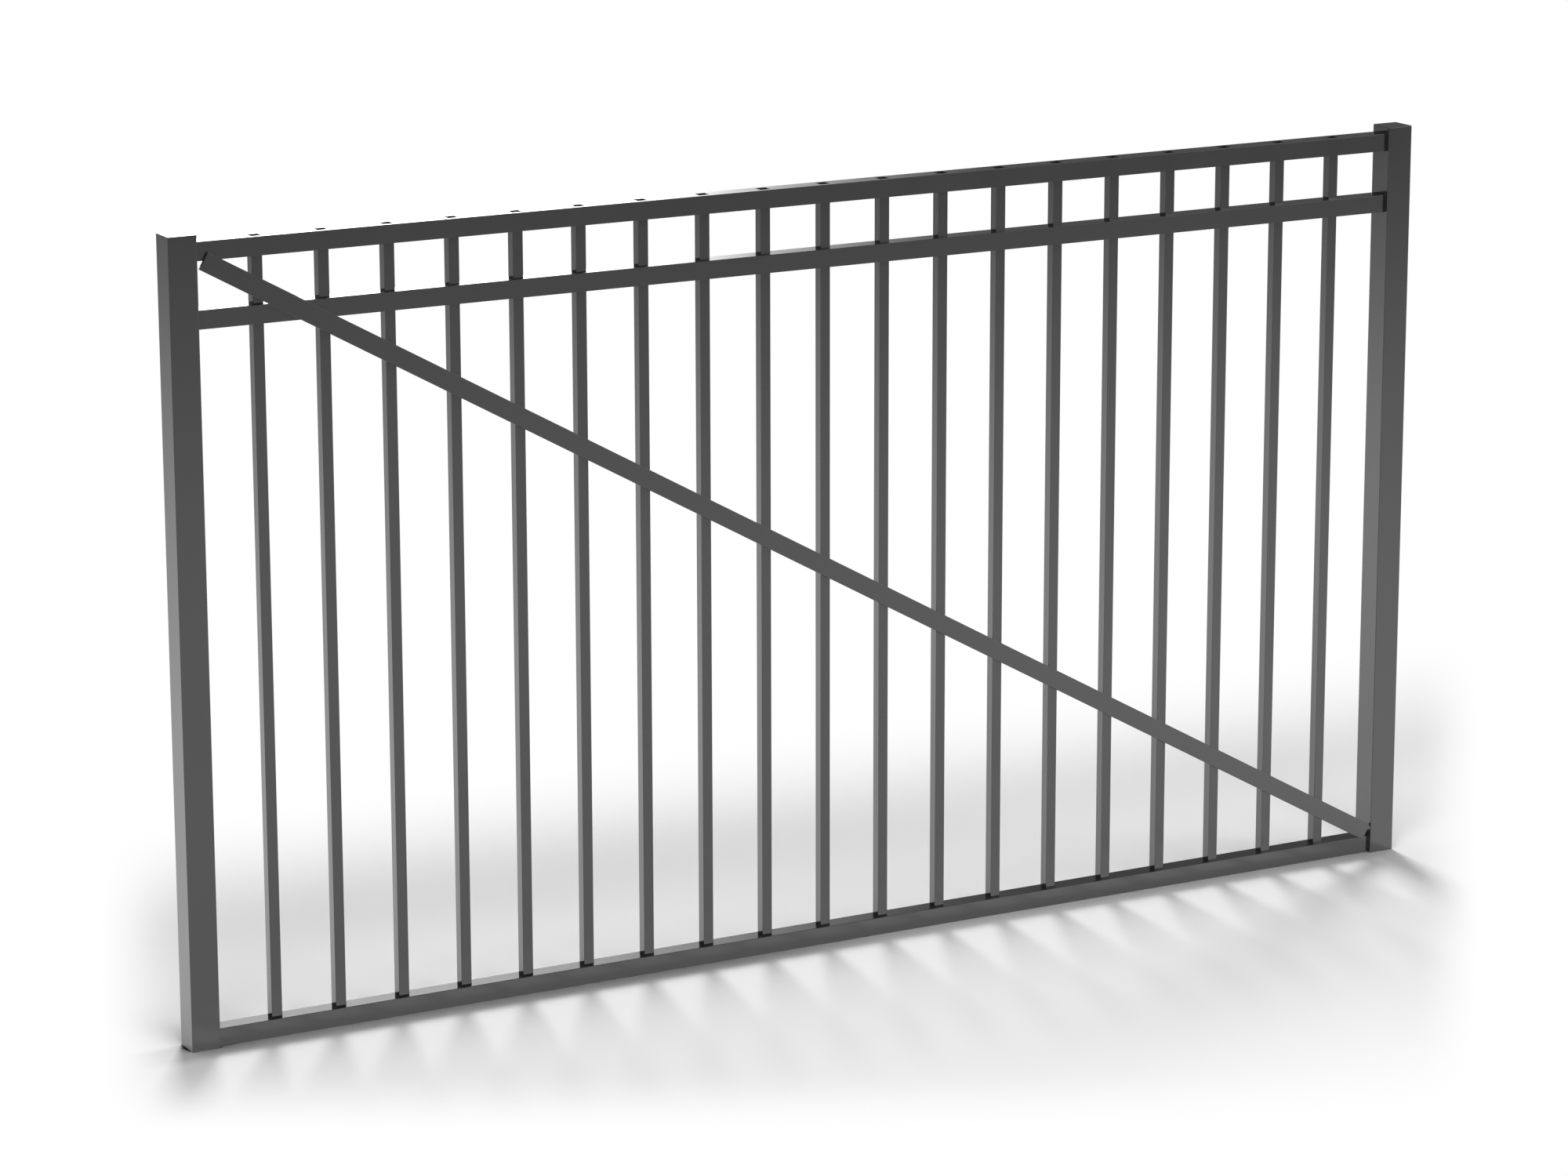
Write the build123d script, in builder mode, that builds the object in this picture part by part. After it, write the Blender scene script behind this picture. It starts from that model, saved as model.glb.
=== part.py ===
"""Pool fence gate: one wide leaf of square tubes and channels.

Two square uprights carry three punched channels. Slim square pickets pass up through
the channels, and a flat bar braces the leaf from the latch side's top corner down to
the hinge side's foot.

Frame: the origin is on the outer face of the hinge upright, in the middle of its depth,
at the foot. X runs along the leaf and is zero at that face, so the leaf lies at negative X.
Y runs from the front to the back, and Z is up. Sizes are in millimetres.
"""
import os
from math import atan2, cos, degrees, radians, sin

from build123d import *

INCH = 25.4

# The leaf as a whole
GATE_WIDTH = 96.25 * INCH
TOP_RAIL_HEIGHT = 54 * INCH
OVERALL_HEIGHT = 54.5 * INCH

# Square tube of the uprights
UPRIGHT_SIZE = 2 * INCH
UPRIGHT_WALL = 0.125 * INCH
UPRIGHT_CORNER = 1.6

# Flush cap pressed into each upright
CAP_PLATE = 0.125 * INCH
CAP_EDGE_RADIUS = 1.5
CAP_SKIRT_DEPTH = 8.0
CAP_SKIRT_WALL = 2.0
CAP_SKIRT_CLEARANCE = 0.15

# Punched channel of the rails: a top web on two side walls
RAIL_DEPTH = 1.375 * INCH
RAIL_HEIGHT = 1.25 * INCH
RAIL_SIDE_WALL = 0.09 * INCH
RAIL_WEB = 0.07 * INCH
RAIL_EDGE_RADIUS = 0.8
RAIL_INSERTION = 25.0
MIDDLE_RAIL_DROP = 112.9
BOTTOM_RAIL_FOOT = 0.0

# Square tube of the pickets
PICKET_COUNT = 19
PICKET_PITCH = 117.9
PICKET_SIZE = 0.75 * INCH
PICKET_WALL = 0.055 * INCH
PICKET_CORNER = 0.8
PICKET_TOP_RECESS = 1.0
PICKET_FOOT = 6.0

# Flat bar of the diagonal brace
BRACE_WIDTH = 1.25 * INCH
BRACE_THICKNESS = 0.1875 * INCH
BRACE_LENGTH = 2661.9
BRACE_SLOPE = 29.21
BRACE_CORNER_HEIGHT = 55.0
BRACE_EDGE_RADIUS = 0.6

# Places worked out from the sizes above
HINGE_X = -UPRIGHT_SIZE / 2
LATCH_X = -GATE_WIDTH + UPRIGHT_SIZE / 2
MIDDLE_X = -GATE_WIDTH / 2
TUBE_TOP = OVERALL_HEIGHT - CAP_PLATE
RAIL_LENGTH = GATE_WIDTH - 2 * UPRIGHT_SIZE + 2 * RAIL_INSERTION
RAIL_FEET = {
    "top_rail": TOP_RAIL_HEIGHT - RAIL_HEIGHT,
    "middle_rail": TOP_RAIL_HEIGHT - RAIL_HEIGHT - MIDDLE_RAIL_DROP,
    "bottom_rail": BOTTOM_RAIL_FOOT,
}
PICKET_LENGTH = TOP_RAIL_HEIGHT - PICKET_TOP_RECESS - PICKET_FOOT
PICKET_SPOTS = [((n - (PICKET_COUNT - 1) / 2) * PICKET_PITCH, 0) for n in range(PICKET_COUNT)]


def save(part, name):
    """Label a finished piece and write it."""
    part.label = name
    export_step(part, f"parts/{name}.step")


def make_upright(name, x, inner_side):
    """Square tube with an opening in its inner wall for each rail's end."""
    with BuildPart() as upright:
        with BuildSketch(Plane.XY):
            with Locations((x, 0)):
                RectangleRounded(UPRIGHT_SIZE, UPRIGHT_SIZE, UPRIGHT_CORNER)
                Rectangle(
                    UPRIGHT_SIZE - 2 * UPRIGHT_WALL,
                    UPRIGHT_SIZE - 2 * UPRIGHT_WALL,
                    mode=Mode.SUBTRACT,
                )
        extrude(amount=TUBE_TOP)
        inner_wall = x + inner_side * (UPRIGHT_SIZE - UPRIGHT_WALL) / 2
        for foot in RAIL_FEET.values():
            with Locations((inner_wall, 0, foot + RAIL_HEIGHT / 2)):
                Box(2 * UPRIGHT_WALL, RAIL_DEPTH, RAIL_HEIGHT, mode=Mode.SUBTRACT)
    save(upright.part, name)


def make_cap(name, x):
    """Flush cap: a plate with a rounded top edge, and a skirt that grips inside the tube."""
    skirt = UPRIGHT_SIZE - 2 * UPRIGHT_WALL - 2 * CAP_SKIRT_CLEARANCE
    with BuildPart() as cap:
        with BuildSketch(Plane.XY.offset(TUBE_TOP)):
            with Locations((x, 0)):
                RectangleRounded(UPRIGHT_SIZE, UPRIGHT_SIZE, UPRIGHT_CORNER)
        extrude(amount=CAP_PLATE)
        top_face = cap.faces().sort_by(Axis.Z)[-1]
        fillet(top_face.edges(), CAP_EDGE_RADIUS)
        with BuildSketch(Plane.XY.offset(TUBE_TOP)):
            with Locations((x, 0)):
                Rectangle(skirt, skirt)
                Rectangle(skirt - 2 * CAP_SKIRT_WALL, skirt - 2 * CAP_SKIRT_WALL, mode=Mode.SUBTRACT)
        extrude(amount=-CAP_SKIRT_DEPTH)
    save(cap.part, name)


def make_rail(name, foot):
    """Channel that is open underneath, with a square hole in its web for each picket."""
    with BuildPart() as rail:
        with BuildSketch(Plane.YZ.offset(MIDDLE_X - RAIL_LENGTH / 2)):
            with Locations((0, foot + RAIL_HEIGHT / 2)):
                Rectangle(RAIL_DEPTH, RAIL_HEIGHT)
            with Locations((0, foot + (RAIL_HEIGHT - RAIL_WEB) / 2)):
                Rectangle(
                    RAIL_DEPTH - 2 * RAIL_SIDE_WALL,
                    RAIL_HEIGHT - RAIL_WEB,
                    mode=Mode.SUBTRACT,
                )
        extrude(amount=RAIL_LENGTH)
        top_edges = rail.edges().filter_by(Axis.X).group_by(Axis.Z)[-1]
        fillet(top_edges, RAIL_EDGE_RADIUS)
        with BuildSketch(Plane.XY.offset(foot + RAIL_HEIGHT)):
            with Locations((MIDDLE_X, 0)):
                with Locations(PICKET_SPOTS):
                    Rectangle(PICKET_SIZE, PICKET_SIZE)
        extrude(amount=-2 * RAIL_WEB, mode=Mode.SUBTRACT)
    save(rail.part, name)


def make_picket(name, x):
    """Slim square tube, open at both ends, held by the holes of the three rails."""
    bore = PICKET_SIZE - 2 * PICKET_WALL
    with BuildPart() as picket:
        with BuildSketch(Plane.XY.offset(PICKET_FOOT)):
            with Locations((x, 0)):
                RectangleRounded(PICKET_SIZE, PICKET_SIZE, PICKET_CORNER)
                Rectangle(bore, bore, mode=Mode.SUBTRACT)
        extrude(amount=PICKET_LENGTH)
    save(picket.part, name)


def make_brace(name):
    """Flat bar on the rails' fronts, its upper corner against the hinge upright."""
    slope = radians(BRACE_SLOPE)
    corner_x = -UPRIGHT_SIZE
    centre_x = corner_x - (BRACE_LENGTH / 2) * cos(slope) - (BRACE_WIDTH / 2) * sin(slope)
    centre_z = BRACE_CORNER_HEIGHT + (BRACE_LENGTH / 2) * sin(slope) - (BRACE_WIDTH / 2) * cos(slope)
    front = Plane(
        origin=(centre_x, -RAIL_DEPTH / 2, centre_z),
        x_dir=(cos(slope), 0, -sin(slope)),
        z_dir=(0, -1, 0),
    )
    with BuildPart() as brace:
        with BuildSketch(front):
            Rectangle(BRACE_LENGTH, BRACE_WIDTH)
        extrude(amount=BRACE_THICKNESS)
        front_face = brace.faces().sort_by(Axis.Y)[0]
        fillet(front_face.edges(), BRACE_EDGE_RADIUS)
    save(brace.part, name)


os.makedirs("parts", exist_ok=True)
make_upright("latch_upright", LATCH_X, 1)
make_upright("hinge_upright", HINGE_X, -1)
make_cap("latch_upright_cap", LATCH_X)
make_cap("hinge_upright_cap", HINGE_X)
for rail_name, rail_foot in RAIL_FEET.items():
    make_rail(rail_name, rail_foot)
for number, (offset_x, _) in enumerate(PICKET_SPOTS, start=1):
    make_picket(f"picket_{number:02d}", MIDDLE_X + offset_x)
make_brace("diagonal_brace")
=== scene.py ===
"""Finish, studio and camera for the pool fence gate.

The gate's tubes, rails, caps and brace come from the frame as they are. This file gives
them their satin black coat, and sets the pale floor, the soft lamps and the camera.
Lengths are in metres, in the gate's own frame: X runs along the leaf and is zero at the
hinge upright's outer face, Y runs from the front to the back, and Z is up.
"""
from math import cos, pi, radians, sin

import bpy
from bpy.props import FloatProperty, FloatVectorProperty, PointerProperty
from mathutils import Matrix, Vector


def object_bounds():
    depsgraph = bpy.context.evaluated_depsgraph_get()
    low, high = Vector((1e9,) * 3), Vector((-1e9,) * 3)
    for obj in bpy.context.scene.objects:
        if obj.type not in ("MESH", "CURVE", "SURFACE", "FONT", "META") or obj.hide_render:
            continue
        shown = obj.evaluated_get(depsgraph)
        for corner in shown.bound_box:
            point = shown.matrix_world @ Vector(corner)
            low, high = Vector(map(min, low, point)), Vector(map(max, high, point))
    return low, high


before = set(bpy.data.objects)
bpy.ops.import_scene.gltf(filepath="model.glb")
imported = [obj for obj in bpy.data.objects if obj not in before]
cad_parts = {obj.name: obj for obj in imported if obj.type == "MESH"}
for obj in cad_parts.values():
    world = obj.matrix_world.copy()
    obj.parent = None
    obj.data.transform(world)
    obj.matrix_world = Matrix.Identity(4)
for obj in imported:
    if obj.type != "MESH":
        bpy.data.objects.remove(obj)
cad_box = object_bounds()

bl_info = {
    "name": "Pool fence gate",
    "version": (1, 0, 0),
    "blender": (4, 5, 0),
    "location": "3D View > Sidebar > Gate",
    "description": "Coats the pool fence gate and sets its studio",
    "category": "Object",
}

RAILS = ("top_rail", "middle_rail", "bottom_rail")
UPRIGHTS = ("latch_upright", "hinge_upright")
CAPS = ("latch_upright_cap", "hinge_upright_cap")
BRACE = ("diagonal_brace",)
PICKETS = tuple(sorted(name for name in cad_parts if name.startswith("picket_")))

LEAF_LOW, LEAF_HIGH = cad_box
LEAF_MIDDLE_X = (LEAF_LOW.x + LEAF_HIGH.x) / 2

WHITE = (1.0, 1.0, 1.0, 1.0)
BLACK = (0.0, 0.0, 0.0, 1.0)

# Coat: soft patches along a metre, and how far its shade and its roughness vary from one to another
COAT_PATCHES = 9.0
SHADE_SPREAD = 0.2
GLOSS_SPREAD = 0.06

# Where each coat's pattern starts, so that no two kinds of piece show the same patches
COAT_SHIFTS = {
    "upright_coat": (0.0, 0.0, 0.0),
    "cap_coat": (3.1, 0.0, 0.0),
    "rail_coat": (0.0, 4.3, 0.0),
    "picket_coat": (0.0, 0.0, 5.7),
    "brace_coat": (2.2, 1.7, 0.0),
}

# Camera: the width of its sensor in millimetres, and in metres how far it sees
SENSOR_WIDTH = 36.0
FARTHEST = 300.0

# Lamps: what they face, their centres, and their widths and heights, in metres
LAMP_TARGET = (LEAF_MIDDLE_X, 0.0, 0.3)
KEY_PLACE = (0.98, 6.58, 4.33)
KEY_SIZE = (2.54, 1.92)
HALO_SIZE = (1.88, 3.6)
FILL_PLACE = (-2.85, -4.11, 6.7)
FILL_SIZE = (5.63, 3.65)

# Windows and ceiling that the coat mirrors: azimuth in degrees, clockwise from straight behind the
# gate, and height as a sine. Each pair runs from where the light ends to where it is full.
WINDOW_LEFT = (-22.0, -8.0)
WINDOW_RIGHT = (31.1, 24.2)
WINDOW_TOP = (0.54, 0.04)
GLARE_RIGHT = (28.5, 25.0)
GLARE_TOP = (0.24, 0.19)
SIDE_LEFT = (100.0, 115.0)
SIDE_RIGHT = (152.0, 143.5)
SIDE_TOP = (0.38, 0.28)
CEILING = (0.35, 0.60)

# Floor, in metres from the origin: where the painted light on it changes in the coat's reflections
BEHIND = (-0.3, 0.3)
FALLS_BEHIND = (0.0, 8.0)
FALLS_IN_FRONT = (-1.0, -8.5)
HINGE_SIDE = (-1.6, 0.2)
SIDE_ENDS = (-7.5, -4.0)

# The patch of the floor that takes shadows: its back and front edges, and as slopes from the middle
# of the picture its left, right and lower edges
PATCH_BACK = (1.3, 0.6)
PATCH_FRONT = (-1.35, -0.45)
PATCH_LEFT = (-0.135, -0.117)
PATCH_RIGHT = (0.137, 0.123)
PATCH_BELOW = (-0.107, -0.094)
PATCH_NEAREST = 1.0

# Painted shade behind the gate, and painted contact shade along its foot, which is deepest towards
# the latch side
SHADE_STARTS = (0.25, 0.6)
CONTACT_FRONT = (-0.085, -0.04)
CONTACT_BACK = (0.03, 0.0)
CONTACT_SIDE = (-0.9, -1.5)
CONTACT_END = (-2.60, -2.46)


class Signal:
    """One output in a node tree, which takes part in plain arithmetic."""

    def __init__(self, graph, socket):
        self.graph = graph
        self.socket = socket

    def maths(self, operation, *others):
        inputs = dict(enumerate((self, *others)))
        return self.graph.add("Math", {"operation": operation}, inputs)["Value"]

    def __add__(self, other):
        return self.maths("ADD", other)

    def __sub__(self, other):
        return self.maths("SUBTRACT", other)

    def __rsub__(self, other):
        return (self * -1) + other

    def __mul__(self, other):
        return self.maths("MULTIPLY", other)

    def __truediv__(self, other):
        return self.maths("DIVIDE", other)

    __radd__ = __add__
    __rmul__ = __mul__


class Graph:
    """The node tree of a material or of the world, built from empty."""

    def __init__(self, owner):
        owner.use_nodes = True
        self.tree = owner.node_tree
        self.tree.nodes.clear()

    def add(self, kind, settings=None, inputs=None):
        """Add one node, set it up, feed its inputs and return its outputs by name."""
        node = self.tree.nodes.new("ShaderNode" + kind)
        for name, value in (settings or {}).items():
            setattr(node, name, value)
        open_inputs = [socket for socket in node.inputs if socket.enabled]
        by_name = {socket.name: socket for socket in open_inputs}
        for key, value in (inputs or {}).items():
            target = open_inputs[key] if isinstance(key, int) else by_name[key]
            if isinstance(value, Signal):
                self.tree.links.new(value.socket, target)
            else:
                target.default_value = value
        return {socket.name: Signal(self, socket) for socket in node.outputs if socket.enabled}

    def dot(self, vector, axis):
        """How far a vector reaches along an axis."""
        return self.add("VectorMath", {"operation": "DOT_PRODUCT"}, {0: vector, 1: axis})["Value"]

    def smooth_step(self, value, low, high):
        """A smooth rise from 0 at low to 1 at high, or a fall where low is the larger."""
        limits = {"Value": value, "From Min": low, "From Max": high}
        return self.add("MapRange", {"interpolation_type": "SMOOTHSTEP"}, limits)["Result"]

    def noise(self, place, scale, detail=2.0):
        """A soft noise from 0 to 1 with features about 1 / scale across."""
        return self.add("TexNoise", {}, {"Vector": place, "Scale": scale, "Detail": detail})["Fac"]


class CoatSettings(bpy.types.PropertyGroup):
    """The powder coat on the metal."""

    colour: FloatVectorProperty(
        name="Colour", description="Pigment of the coat", subtype="COLOR",
        size=3, min=0.0, max=1.0, default=(0.014, 0.014, 0.014),
    )
    gloss: FloatProperty(
        name="Roughness", description="How blurred the coat's reflections are",
        min=0.0, max=1.0, default=0.14,
    )
    index: FloatProperty(
        name="Refraction", description="Strength of the coat's reflections",
        min=1.0, max=3.0, default=1.9,
    )
    peel: FloatProperty(
        name="Orange peel", description="Size of the coat's fine ripples",
        unit="LENGTH", min=0.0002, max=0.02, default=0.0022,
    )
    peel_depth: FloatProperty(
        name="Peel depth", description="Height of the coat's fine ripples",
        unit="LENGTH", min=0.0, max=0.001, precision=6, default=0.000006,
    )


class StudioSettings(bpy.types.PropertyGroup):
    """The floor and the lamps around the gate."""

    floor_size: FloatProperty(
        name="Floor", description="Length of the floor's sides",
        unit="LENGTH", min=10.0, max=500.0, default=160.0,
    )
    floor_colour: FloatVectorProperty(
        name="Floor colour", description="Paint of the floor", subtype="COLOR",
        size=3, min=0.0, max=1.0, default=(0.92, 0.92, 0.92),
    )
    # Painted light on the floor, which the coat mirrors: its level behind and in front of the gate,
    # how it falls with the distance and how it changes at the hinge side
    behind_level: FloatProperty(
        name="Floor behind",
        description="Brightness of the floor behind the gate in the coat's reflections",
        min=0.0, max=1.6, default=1.584,
    )
    behind_fall: FloatProperty(
        name="Fall behind", description="How much darker that floor is far behind the gate",
        min=0.0, max=1.6, default=0.8,
    )
    behind_side: FloatProperty(
        name="Side behind", description="How much darker that floor is at the hinge side",
        min=0.0, max=1.0, default=0.28,
    )
    front_level: FloatProperty(
        name="Floor in front",
        description="Brightness of the floor in front of the gate in the coat's reflections",
        min=0.0, max=1.6, default=0.94,
    )
    front_fall: FloatProperty(
        name="Fall in front", description="How much darker that floor is far in front of the gate",
        min=0.0, max=1.6, default=0.3,
    )
    front_side: FloatProperty(
        name="Side in front", description="How much brighter that floor is at the hinge side",
        min=0.0, max=1.0, default=0.29,
    )
    # Painted shade: how much the floor's paint is darkened behind the gate
    painted_back_shade: FloatProperty(
        name="Shade behind", description="Depth of the broad shade on the floor behind the gate",
        min=0.0, max=1.0, default=0.075,
    )
    # Painted contact shade: how much the floor's paint is darkened in a narrow band along the
    # gate's foot
    painted_contact_shade: FloatProperty(
        name="Contact shade", description="Depth of the narrow shade along the gate's foot",
        min=0.0, max=1.0, default=0.15,
    )
    shadow_depth: FloatProperty(
        name="Shadow depth", description="How much deeper than life the floor's shadows are",
        min=1.0, max=3.0, default=1.6,
    )
    key_power: FloatProperty(
        name="Key lamp", description="Power of the soft lamp behind the gate",
        unit="POWER", min=0.0, max=5000.0, default=198.0,
    )
    halo_power: FloatProperty(
        name="Key halo", description="Power of the wider glow around that lamp",
        unit="POWER", min=0.0, max=5000.0, default=155.0,
    )
    fill_power: FloatProperty(
        name="Fill lamp", description="Power of the soft lamp in front of the gate",
        unit="POWER", min=0.0, max=5000.0, default=275.0,
    )
    room_light: FloatProperty(
        name="Room", description="Light that comes from all around",
        min=0.0, max=5.0, default=0.451,
    )
    mirrored_room: FloatProperty(
        name="Mirrored room", description="Brightness of the room in the coat's reflections",
        min=0.0, max=5.0, default=0.14,
    )
    window_light: FloatProperty(
        name="Window", description="Brightness of the low window that the coat mirrors",
        min=0.0, max=20.0, default=3.2,
    )
    window_glare: FloatProperty(
        name="Glare", description="How much brighter the window is in its low left part",
        min=0.0, max=20.0, default=5.0,
    )
    side_light: FloatProperty(
        name="Side window",
        description="Brightness of the window that the coat mirrors at the right",
        min=0.0, max=20.0, default=2.6,
    )
    ceiling_light: FloatProperty(
        name="Ceiling", description="How much brighter the ceiling is in the coat's reflections",
        min=0.0, max=5.0, default=0.3,
    )


class CameraSettings(bpy.types.PropertyGroup):
    """The photograph's point of view."""

    place: FloatVectorProperty(
        name="Place", description="Where the camera stands", subtype="TRANSLATION",
        unit="LENGTH", size=3, default=(-5.4638, -7.6400, 2.8041),
    )
    azimuth: FloatProperty(
        name="Azimuth", description="Turn of the view from the leaf's back towards its hinge side",
        subtype="ANGLE", unit="ROTATION", default=radians(28.59),
    )
    dip: FloatProperty(
        name="Dip", description="How far the view points below the horizon",
        subtype="ANGLE", unit="ROTATION", default=radians(13.84),
    )
    roll: FloatProperty(
        name="Roll", description="Turn of the camera about its own axis",
        subtype="ANGLE", unit="ROTATION", default=radians(-0.11),
    )
    lens: FloatProperty(
        name="Lens", description="Focal length for a sensor 36 mm wide",
        subtype="DISTANCE_CAMERA", unit="CAMERA", min=20.0, max=300.0, default=117.28,
    )


def coat_material(name):
    """Satin black powder coat, with fine ripples and faint patches of shade and gloss."""
    coat = bpy.context.scene.gate_coat
    material = bpy.data.materials.new(name)
    graph = Graph(material)
    place = graph.add("TexCoord")["Object"]
    place = graph.add("Mapping", {}, {"Vector": place, "Location": COAT_SHIFTS[name]})["Vector"]
    patches = graph.noise(place, COAT_PATCHES)
    ripples = graph.noise(place, 1 / coat.peel, detail=3.0)
    darker = (*[(1 - SHADE_SPREAD) * part for part in coat.colour], 1)
    lighter = (*[(1 + SHADE_SPREAD) * part for part in coat.colour], 1)
    mix = {"Factor": patches, "A": darker, "B": lighter}
    shade = graph.add("Mix", {"data_type": "RGBA"}, mix)["Result"]
    relief = {"Strength": 1.0, "Distance": coat.peel_depth, "Height": ripples}
    bump = graph.add("Bump", {}, relief)["Normal"]
    surface = graph.add("BsdfPrincipled", {}, {
        "Base Color": shade,
        "Roughness": coat.gloss + GLOSS_SPREAD * (patches - 0.5),
        "IOR": coat.index,
        "Normal": bump,
    })["BSDF"]
    graph.add("OutputMaterial", {}, {"Surface": surface})
    return material


def coat_nodes(names, material):
    """Give each of these CAD pieces the material."""
    for name in names:
        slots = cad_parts[name].data.materials
        slots.clear()
        slots.append(material)


class GATE_OT_coat_uprights(bpy.types.Operator):
    """Coat the two square uprights"""

    bl_idname = "gate.coat_uprights"
    bl_label = "Coat the uprights"

    def execute(self, context):
        coat_nodes(UPRIGHTS, coat_material("upright_coat"))
        return {"FINISHED"}


class GATE_OT_coat_caps(bpy.types.Operator):
    """Coat the flush caps on the uprights"""

    bl_idname = "gate.coat_caps"
    bl_label = "Coat the caps"

    def execute(self, context):
        coat_nodes(CAPS, coat_material("cap_coat"))
        return {"FINISHED"}


class GATE_OT_coat_rails(bpy.types.Operator):
    """Coat the three punched rails"""

    bl_idname = "gate.coat_rails"
    bl_label = "Coat the rails"

    def execute(self, context):
        coat_nodes(RAILS, coat_material("rail_coat"))
        return {"FINISHED"}


class GATE_OT_coat_pickets(bpy.types.Operator):
    """Coat the slim pickets"""

    bl_idname = "gate.coat_pickets"
    bl_label = "Coat the pickets"

    def execute(self, context):
        coat_nodes(PICKETS, coat_material("picket_coat"))
        return {"FINISHED"}


class GATE_OT_coat_brace(bpy.types.Operator):
    """Coat the diagonal brace"""

    bl_idname = "gate.coat_brace"
    bl_label = "Coat the brace"

    def execute(self, context):
        coat_nodes(BRACE, coat_material("brace_coat"))
        return {"FINISHED"}


def camera_axes():
    """The directions to the right, upwards and ahead as the camera sees them."""
    view = bpy.context.scene.gate_camera
    ahead = Vector((
        sin(view.azimuth) * cos(view.dip),
        cos(view.azimuth) * cos(view.dip),
        -sin(view.dip),
    ))
    level_right = Vector((cos(view.azimuth), -sin(view.azimuth), 0))
    level_up = level_right.cross(ahead)
    right = cos(view.roll) * level_right + sin(view.roll) * level_up
    return right, right.cross(ahead), ahead


def floor_material(studio):
    """Matt white floor. Around the gate it takes the shadows and a painted shade, and beyond them
    it is plain white. The coat mirrors painted light on it.
    """
    material = bpy.data.materials.new("studio_floor")
    graph = Graph(material)
    place = graph.add("TexCoord")["Object"]
    parts = graph.add("SeparateXYZ", {}, {"Vector": place})
    along = parts["X"]
    depth = parts["Y"]

    # Painted light: the floor that the coat mirrors is painted darker with the distance, darker
    # towards the hinge side behind the gate and brighter there in front of it
    azimuth = bpy.context.scene.gate_camera.azimuth
    across = graph.dot(place, (cos(azimuth), sin(azimuth), 0))
    hinge_side = graph.smooth_step(across, *HINGE_SIDE)
    behind = (
        studio.behind_level - studio.behind_fall * graph.smooth_step(depth, *FALLS_BEHIND)
        - studio.behind_side * hinge_side
    )
    in_front = (
        studio.front_level - studio.front_fall * graph.smooth_step(depth, *FALLS_IN_FRONT)
        + studio.front_side * hinge_side * graph.smooth_step(depth, *SIDE_ENDS)
    )
    is_behind = graph.smooth_step(depth, *BEHIND)
    mirrored = behind * is_behind + in_front * (1 - is_behind)

    # The patch that takes shadows has edges on the floor and edges in the picture
    right, up, ahead = camera_axes()
    ends = {0: place, 1: bpy.context.scene.gate_camera.place}
    from_camera = graph.add("VectorMath", {"operation": "SUBTRACT"}, ends)["Vector"]
    distance = graph.dot(from_camera, ahead).maths("MAXIMUM", PATCH_NEAREST)
    aside = graph.dot(from_camera, right) / distance
    above = graph.dot(from_camera, up) / distance
    shaded = (
        graph.smooth_step(aside, *PATCH_LEFT) * graph.smooth_step(aside, *PATCH_RIGHT)
        * graph.smooth_step(above, *PATCH_BELOW)
        * graph.smooth_step(depth, *PATCH_BACK) * graph.smooth_step(depth, *PATCH_FRONT)
    )
    # Painted contact shade in a narrow band along the gate's foot, deepest towards the latch side
    contact = (
        graph.smooth_step(depth, *CONTACT_FRONT) * graph.smooth_step(depth, *CONTACT_BACK)
        * graph.smooth_step(along, *CONTACT_SIDE) * graph.smooth_step(along, *CONTACT_END)
    )
    # Painted shade behind the gate and along its foot, with the constant that deepens the shadows
    darker = studio.painted_back_shade * graph.smooth_step(depth, *SHADE_STARTS)
    darker += studio.painted_contact_shade * contact + (studio.shadow_depth - 1)

    # The camera sees a stronger paint with a constant taken away, so its shadows are deeper, and
    # the painted shade is taken away with it
    rays = graph.add("LightPath")
    camera = rays["Is Camera Ray"]
    plain = (camera + rays["Is Transmission Ray"]) * (1 - shaded)
    backdrop_and_painted_shade = plain - darker * shaded * camera
    backdrop_and_painted_shade = graph.add("Emission", {}, {"Color": backdrop_and_painted_shade, "Strength": 1.0})["Emission"]
    # Other rays than the camera's see the paint with its painted light
    share = camera * shaded + (1 - camera) * mirrored / studio.shadow_depth
    colour = [studio.shadow_depth * part for part in studio.floor_colour]
    dark = graph.add("BsdfDiffuse", {}, {"Color": BLACK})["BSDF"]
    paint = graph.add("BsdfDiffuse", {}, {"Color": (*colour, 1)})["BSDF"]
    paint = graph.add("MixShader", {}, {0: share, 1: dark, 2: paint})["Shader"]
    both = graph.add("AddShader", {}, {0: paint, 1: backdrop_and_painted_shade})["Shader"]
    graph.add("OutputMaterial", {}, {"Surface": both})
    return material


class GATE_OT_lay_floor(bpy.types.Operator):
    """Lay the pale floor under the gate"""

    bl_idname = "gate.lay_floor"
    bl_label = "Lay the floor"

    def execute(self, context):
        studio = context.scene.gate_studio
        bpy.ops.object.select_all(action="DESELECT")
        bpy.ops.mesh.primitive_plane_add(size=studio.floor_size, location=(0, 0, LEAF_LOW.z))
        floor = context.object
        floor.name = "studio_floor"
        floor.data.materials.append(floor_material(studio))
        return {"FINISHED"}


def soft_lamp(name, place, size, power, mirrored):
    """A wide soft lamp that faces the gate, and that the coat mirrors or not."""
    lamp = bpy.data.lights.new(name, "AREA")
    lamp.shape = "RECTANGLE"
    lamp.size, lamp.size_y = size
    lamp.energy = power
    holder = bpy.data.objects.new(name, lamp)
    bpy.context.scene.collection.objects.link(holder)
    holder.location = place
    aim = Vector(LAMP_TARGET) - Vector(place)
    holder.rotation_euler = aim.to_track_quat("-Z", "Y").to_euler()
    holder.visible_glossy = mirrored


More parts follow.
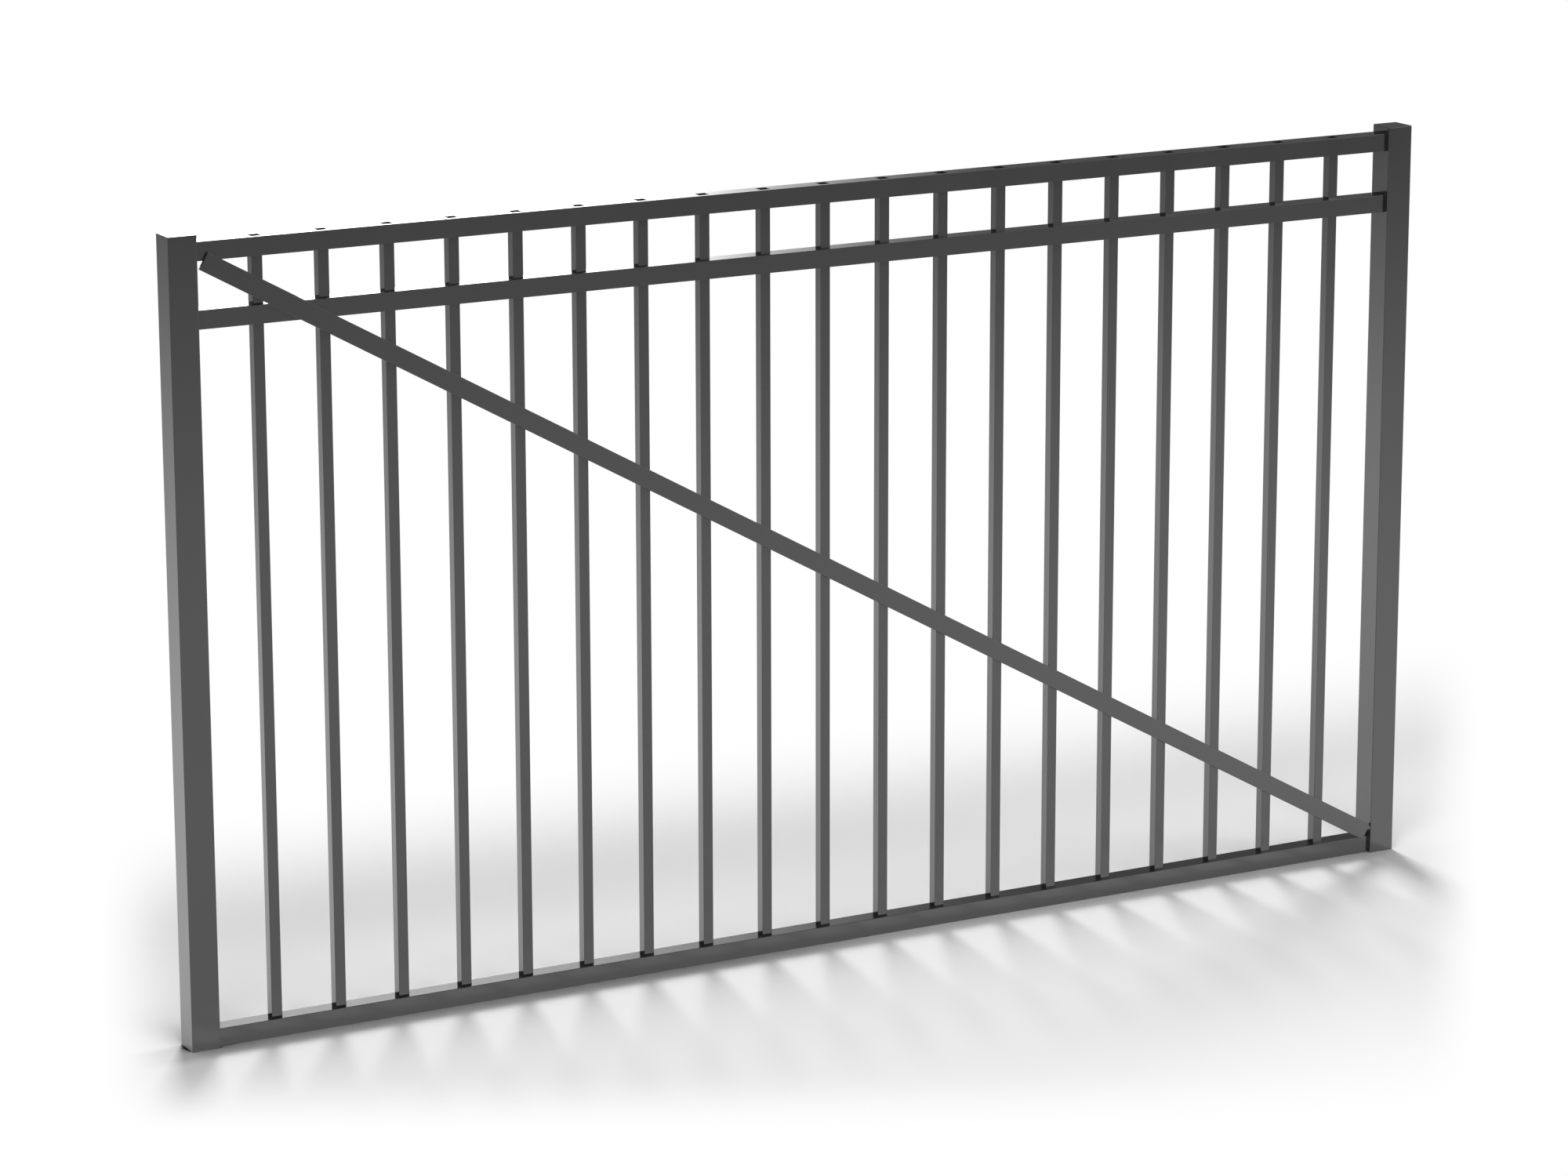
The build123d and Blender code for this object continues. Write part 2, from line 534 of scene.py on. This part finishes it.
def room_world(studio):
    """Dim room. Only the coat mirrors its windows and ceiling, and the camera sees plain white."""
    world = bpy.data.worlds.new("studio_room")
    graph = Graph(world)
    way = graph.add("SeparateXYZ", {}, {"Vector": graph.add("TexCoord")["Generated"]})
    height = way["Z"]
    azimuth = way["X"].maths("ARCTAN2", way["Y"]) * (180 / pi)
    from_left = graph.smooth_step(azimuth, *WINDOW_LEFT)
    window = (
        from_left * graph.smooth_step(azimuth, *WINDOW_RIGHT)
        * graph.smooth_step(height, *WINDOW_TOP)
    )
    glare = (
        from_left * graph.smooth_step(azimuth, *GLARE_RIGHT)
        * graph.smooth_step(height, *GLARE_TOP)
    )
    side = (
        graph.smooth_step(azimuth, *SIDE_RIGHT) * graph.smooth_step(azimuth, *SIDE_LEFT)
        * graph.smooth_step(height, *SIDE_TOP)
    )
    ceiling = graph.smooth_step(height, *CEILING)
    mirrored = studio.mirrored_room + studio.ceiling_light * ceiling
    mirrored += studio.window_light * window + studio.window_glare * glare
    mirrored += studio.side_light * side

    rays = graph.add("LightPath")
    white = rays["Is Camera Ray"] + rays["Is Transmission Ray"]
    glossy = rays["Is Glossy Ray"]
    strength = white + (1 - white) * (studio.room_light * (1 - glossy) + mirrored * glossy)
    light = graph.add("Background", {}, {"Color": WHITE, "Strength": strength})["Background"]
    graph.add("OutputWorld", {}, {"Surface": light})
    return world


class GATE_OT_light_studio(bpy.types.Operator):
    """Light the gate with three soft lamps and a dim room"""

    bl_idname = "gate.light_studio"
    bl_label = "Light the studio"

    def execute(self, context):
        studio = context.scene.gate_studio
        soft_lamp("key_lamp", KEY_PLACE, KEY_SIZE, studio.key_power, mirrored=False)
        soft_lamp("key_halo", KEY_PLACE, HALO_SIZE, studio.halo_power, mirrored=False)
        soft_lamp("fill_lamp", FILL_PLACE, FILL_SIZE, studio.fill_power, mirrored=True)
        context.scene.world = room_world(studio)
        context.scene.view_settings.view_transform = "Standard"
        return {"FINISHED"}


class GATE_OT_place_camera(bpy.types.Operator):
    """Place the camera at the photograph's point of view"""

    bl_idname = "gate.place_camera"
    bl_label = "Place the camera"

    def execute(self, context):
        view = context.scene.gate_camera
        right, up, ahead = camera_axes()
        turn = Matrix((right, up, -ahead)).transposed()
        camera = bpy.data.objects.new("photo_camera", bpy.data.cameras.new("photo_camera"))
        camera.data.sensor_fit = "HORIZONTAL"
        camera.data.sensor_width = SENSOR_WIDTH
        camera.data.lens = view.lens
        camera.data.clip_end = FARTHEST
        camera.matrix_world = Matrix.Translation(view.place) @ turn.to_4x4()
        context.scene.collection.objects.link(camera)
        context.scene.camera = camera
        return {"FINISHED"}


class GATE_PT_sidebar(bpy.types.Panel):
    """Sizes, colours and steps of the gate's scene"""

    bl_idname = "GATE_PT_sidebar"
    bl_label = "Pool fence gate"
    bl_space_type = "VIEW_3D"
    bl_region_type = "UI"
    bl_category = "Gate"

    def draw(self, context):
        for step in STEPS:
            self.layout.operator(step.bl_idname)
        for group in GROUPS:
            settings = getattr(context.scene, group)
            for name in settings.__annotations__:
                self.layout.prop(settings, name)


GROUPS = {
    "gate_coat": CoatSettings,
    "gate_studio": StudioSettings,
    "gate_camera": CameraSettings,
}
STEPS = (
    GATE_OT_place_camera,
    GATE_OT_coat_uprights,
    GATE_OT_coat_caps,
    GATE_OT_coat_rails,
    GATE_OT_coat_pickets,
    GATE_OT_coat_brace,
    GATE_OT_lay_floor,
    GATE_OT_light_studio,
)
CLASSES = (*GROUPS.values(), *STEPS, GATE_PT_sidebar)


def register():
    """Register the classes, and hang their settings on the scene."""
    for item in CLASSES:
        bpy.utils.register_class(item)
    for name, settings in GROUPS.items():
        setattr(bpy.types.Scene, name, PointerProperty(type=settings))


def unregister():
    """Take the settings and the classes away again."""
    for name in GROUPS:
        delattr(bpy.types.Scene, name)
    for item in reversed(CLASSES):
        bpy.utils.unregister_class(item)


def main():
    register()
    bpy.ops.gate.place_camera()
    bpy.ops.gate.coat_uprights()
    bpy.ops.gate.coat_caps()
    bpy.ops.gate.coat_rails()
    bpy.ops.gate.coat_pickets()
    bpy.ops.gate.coat_brace()
    bpy.ops.gate.lay_floor()
    bpy.ops.gate.light_studio()


if __name__ == "__main__":
    main()
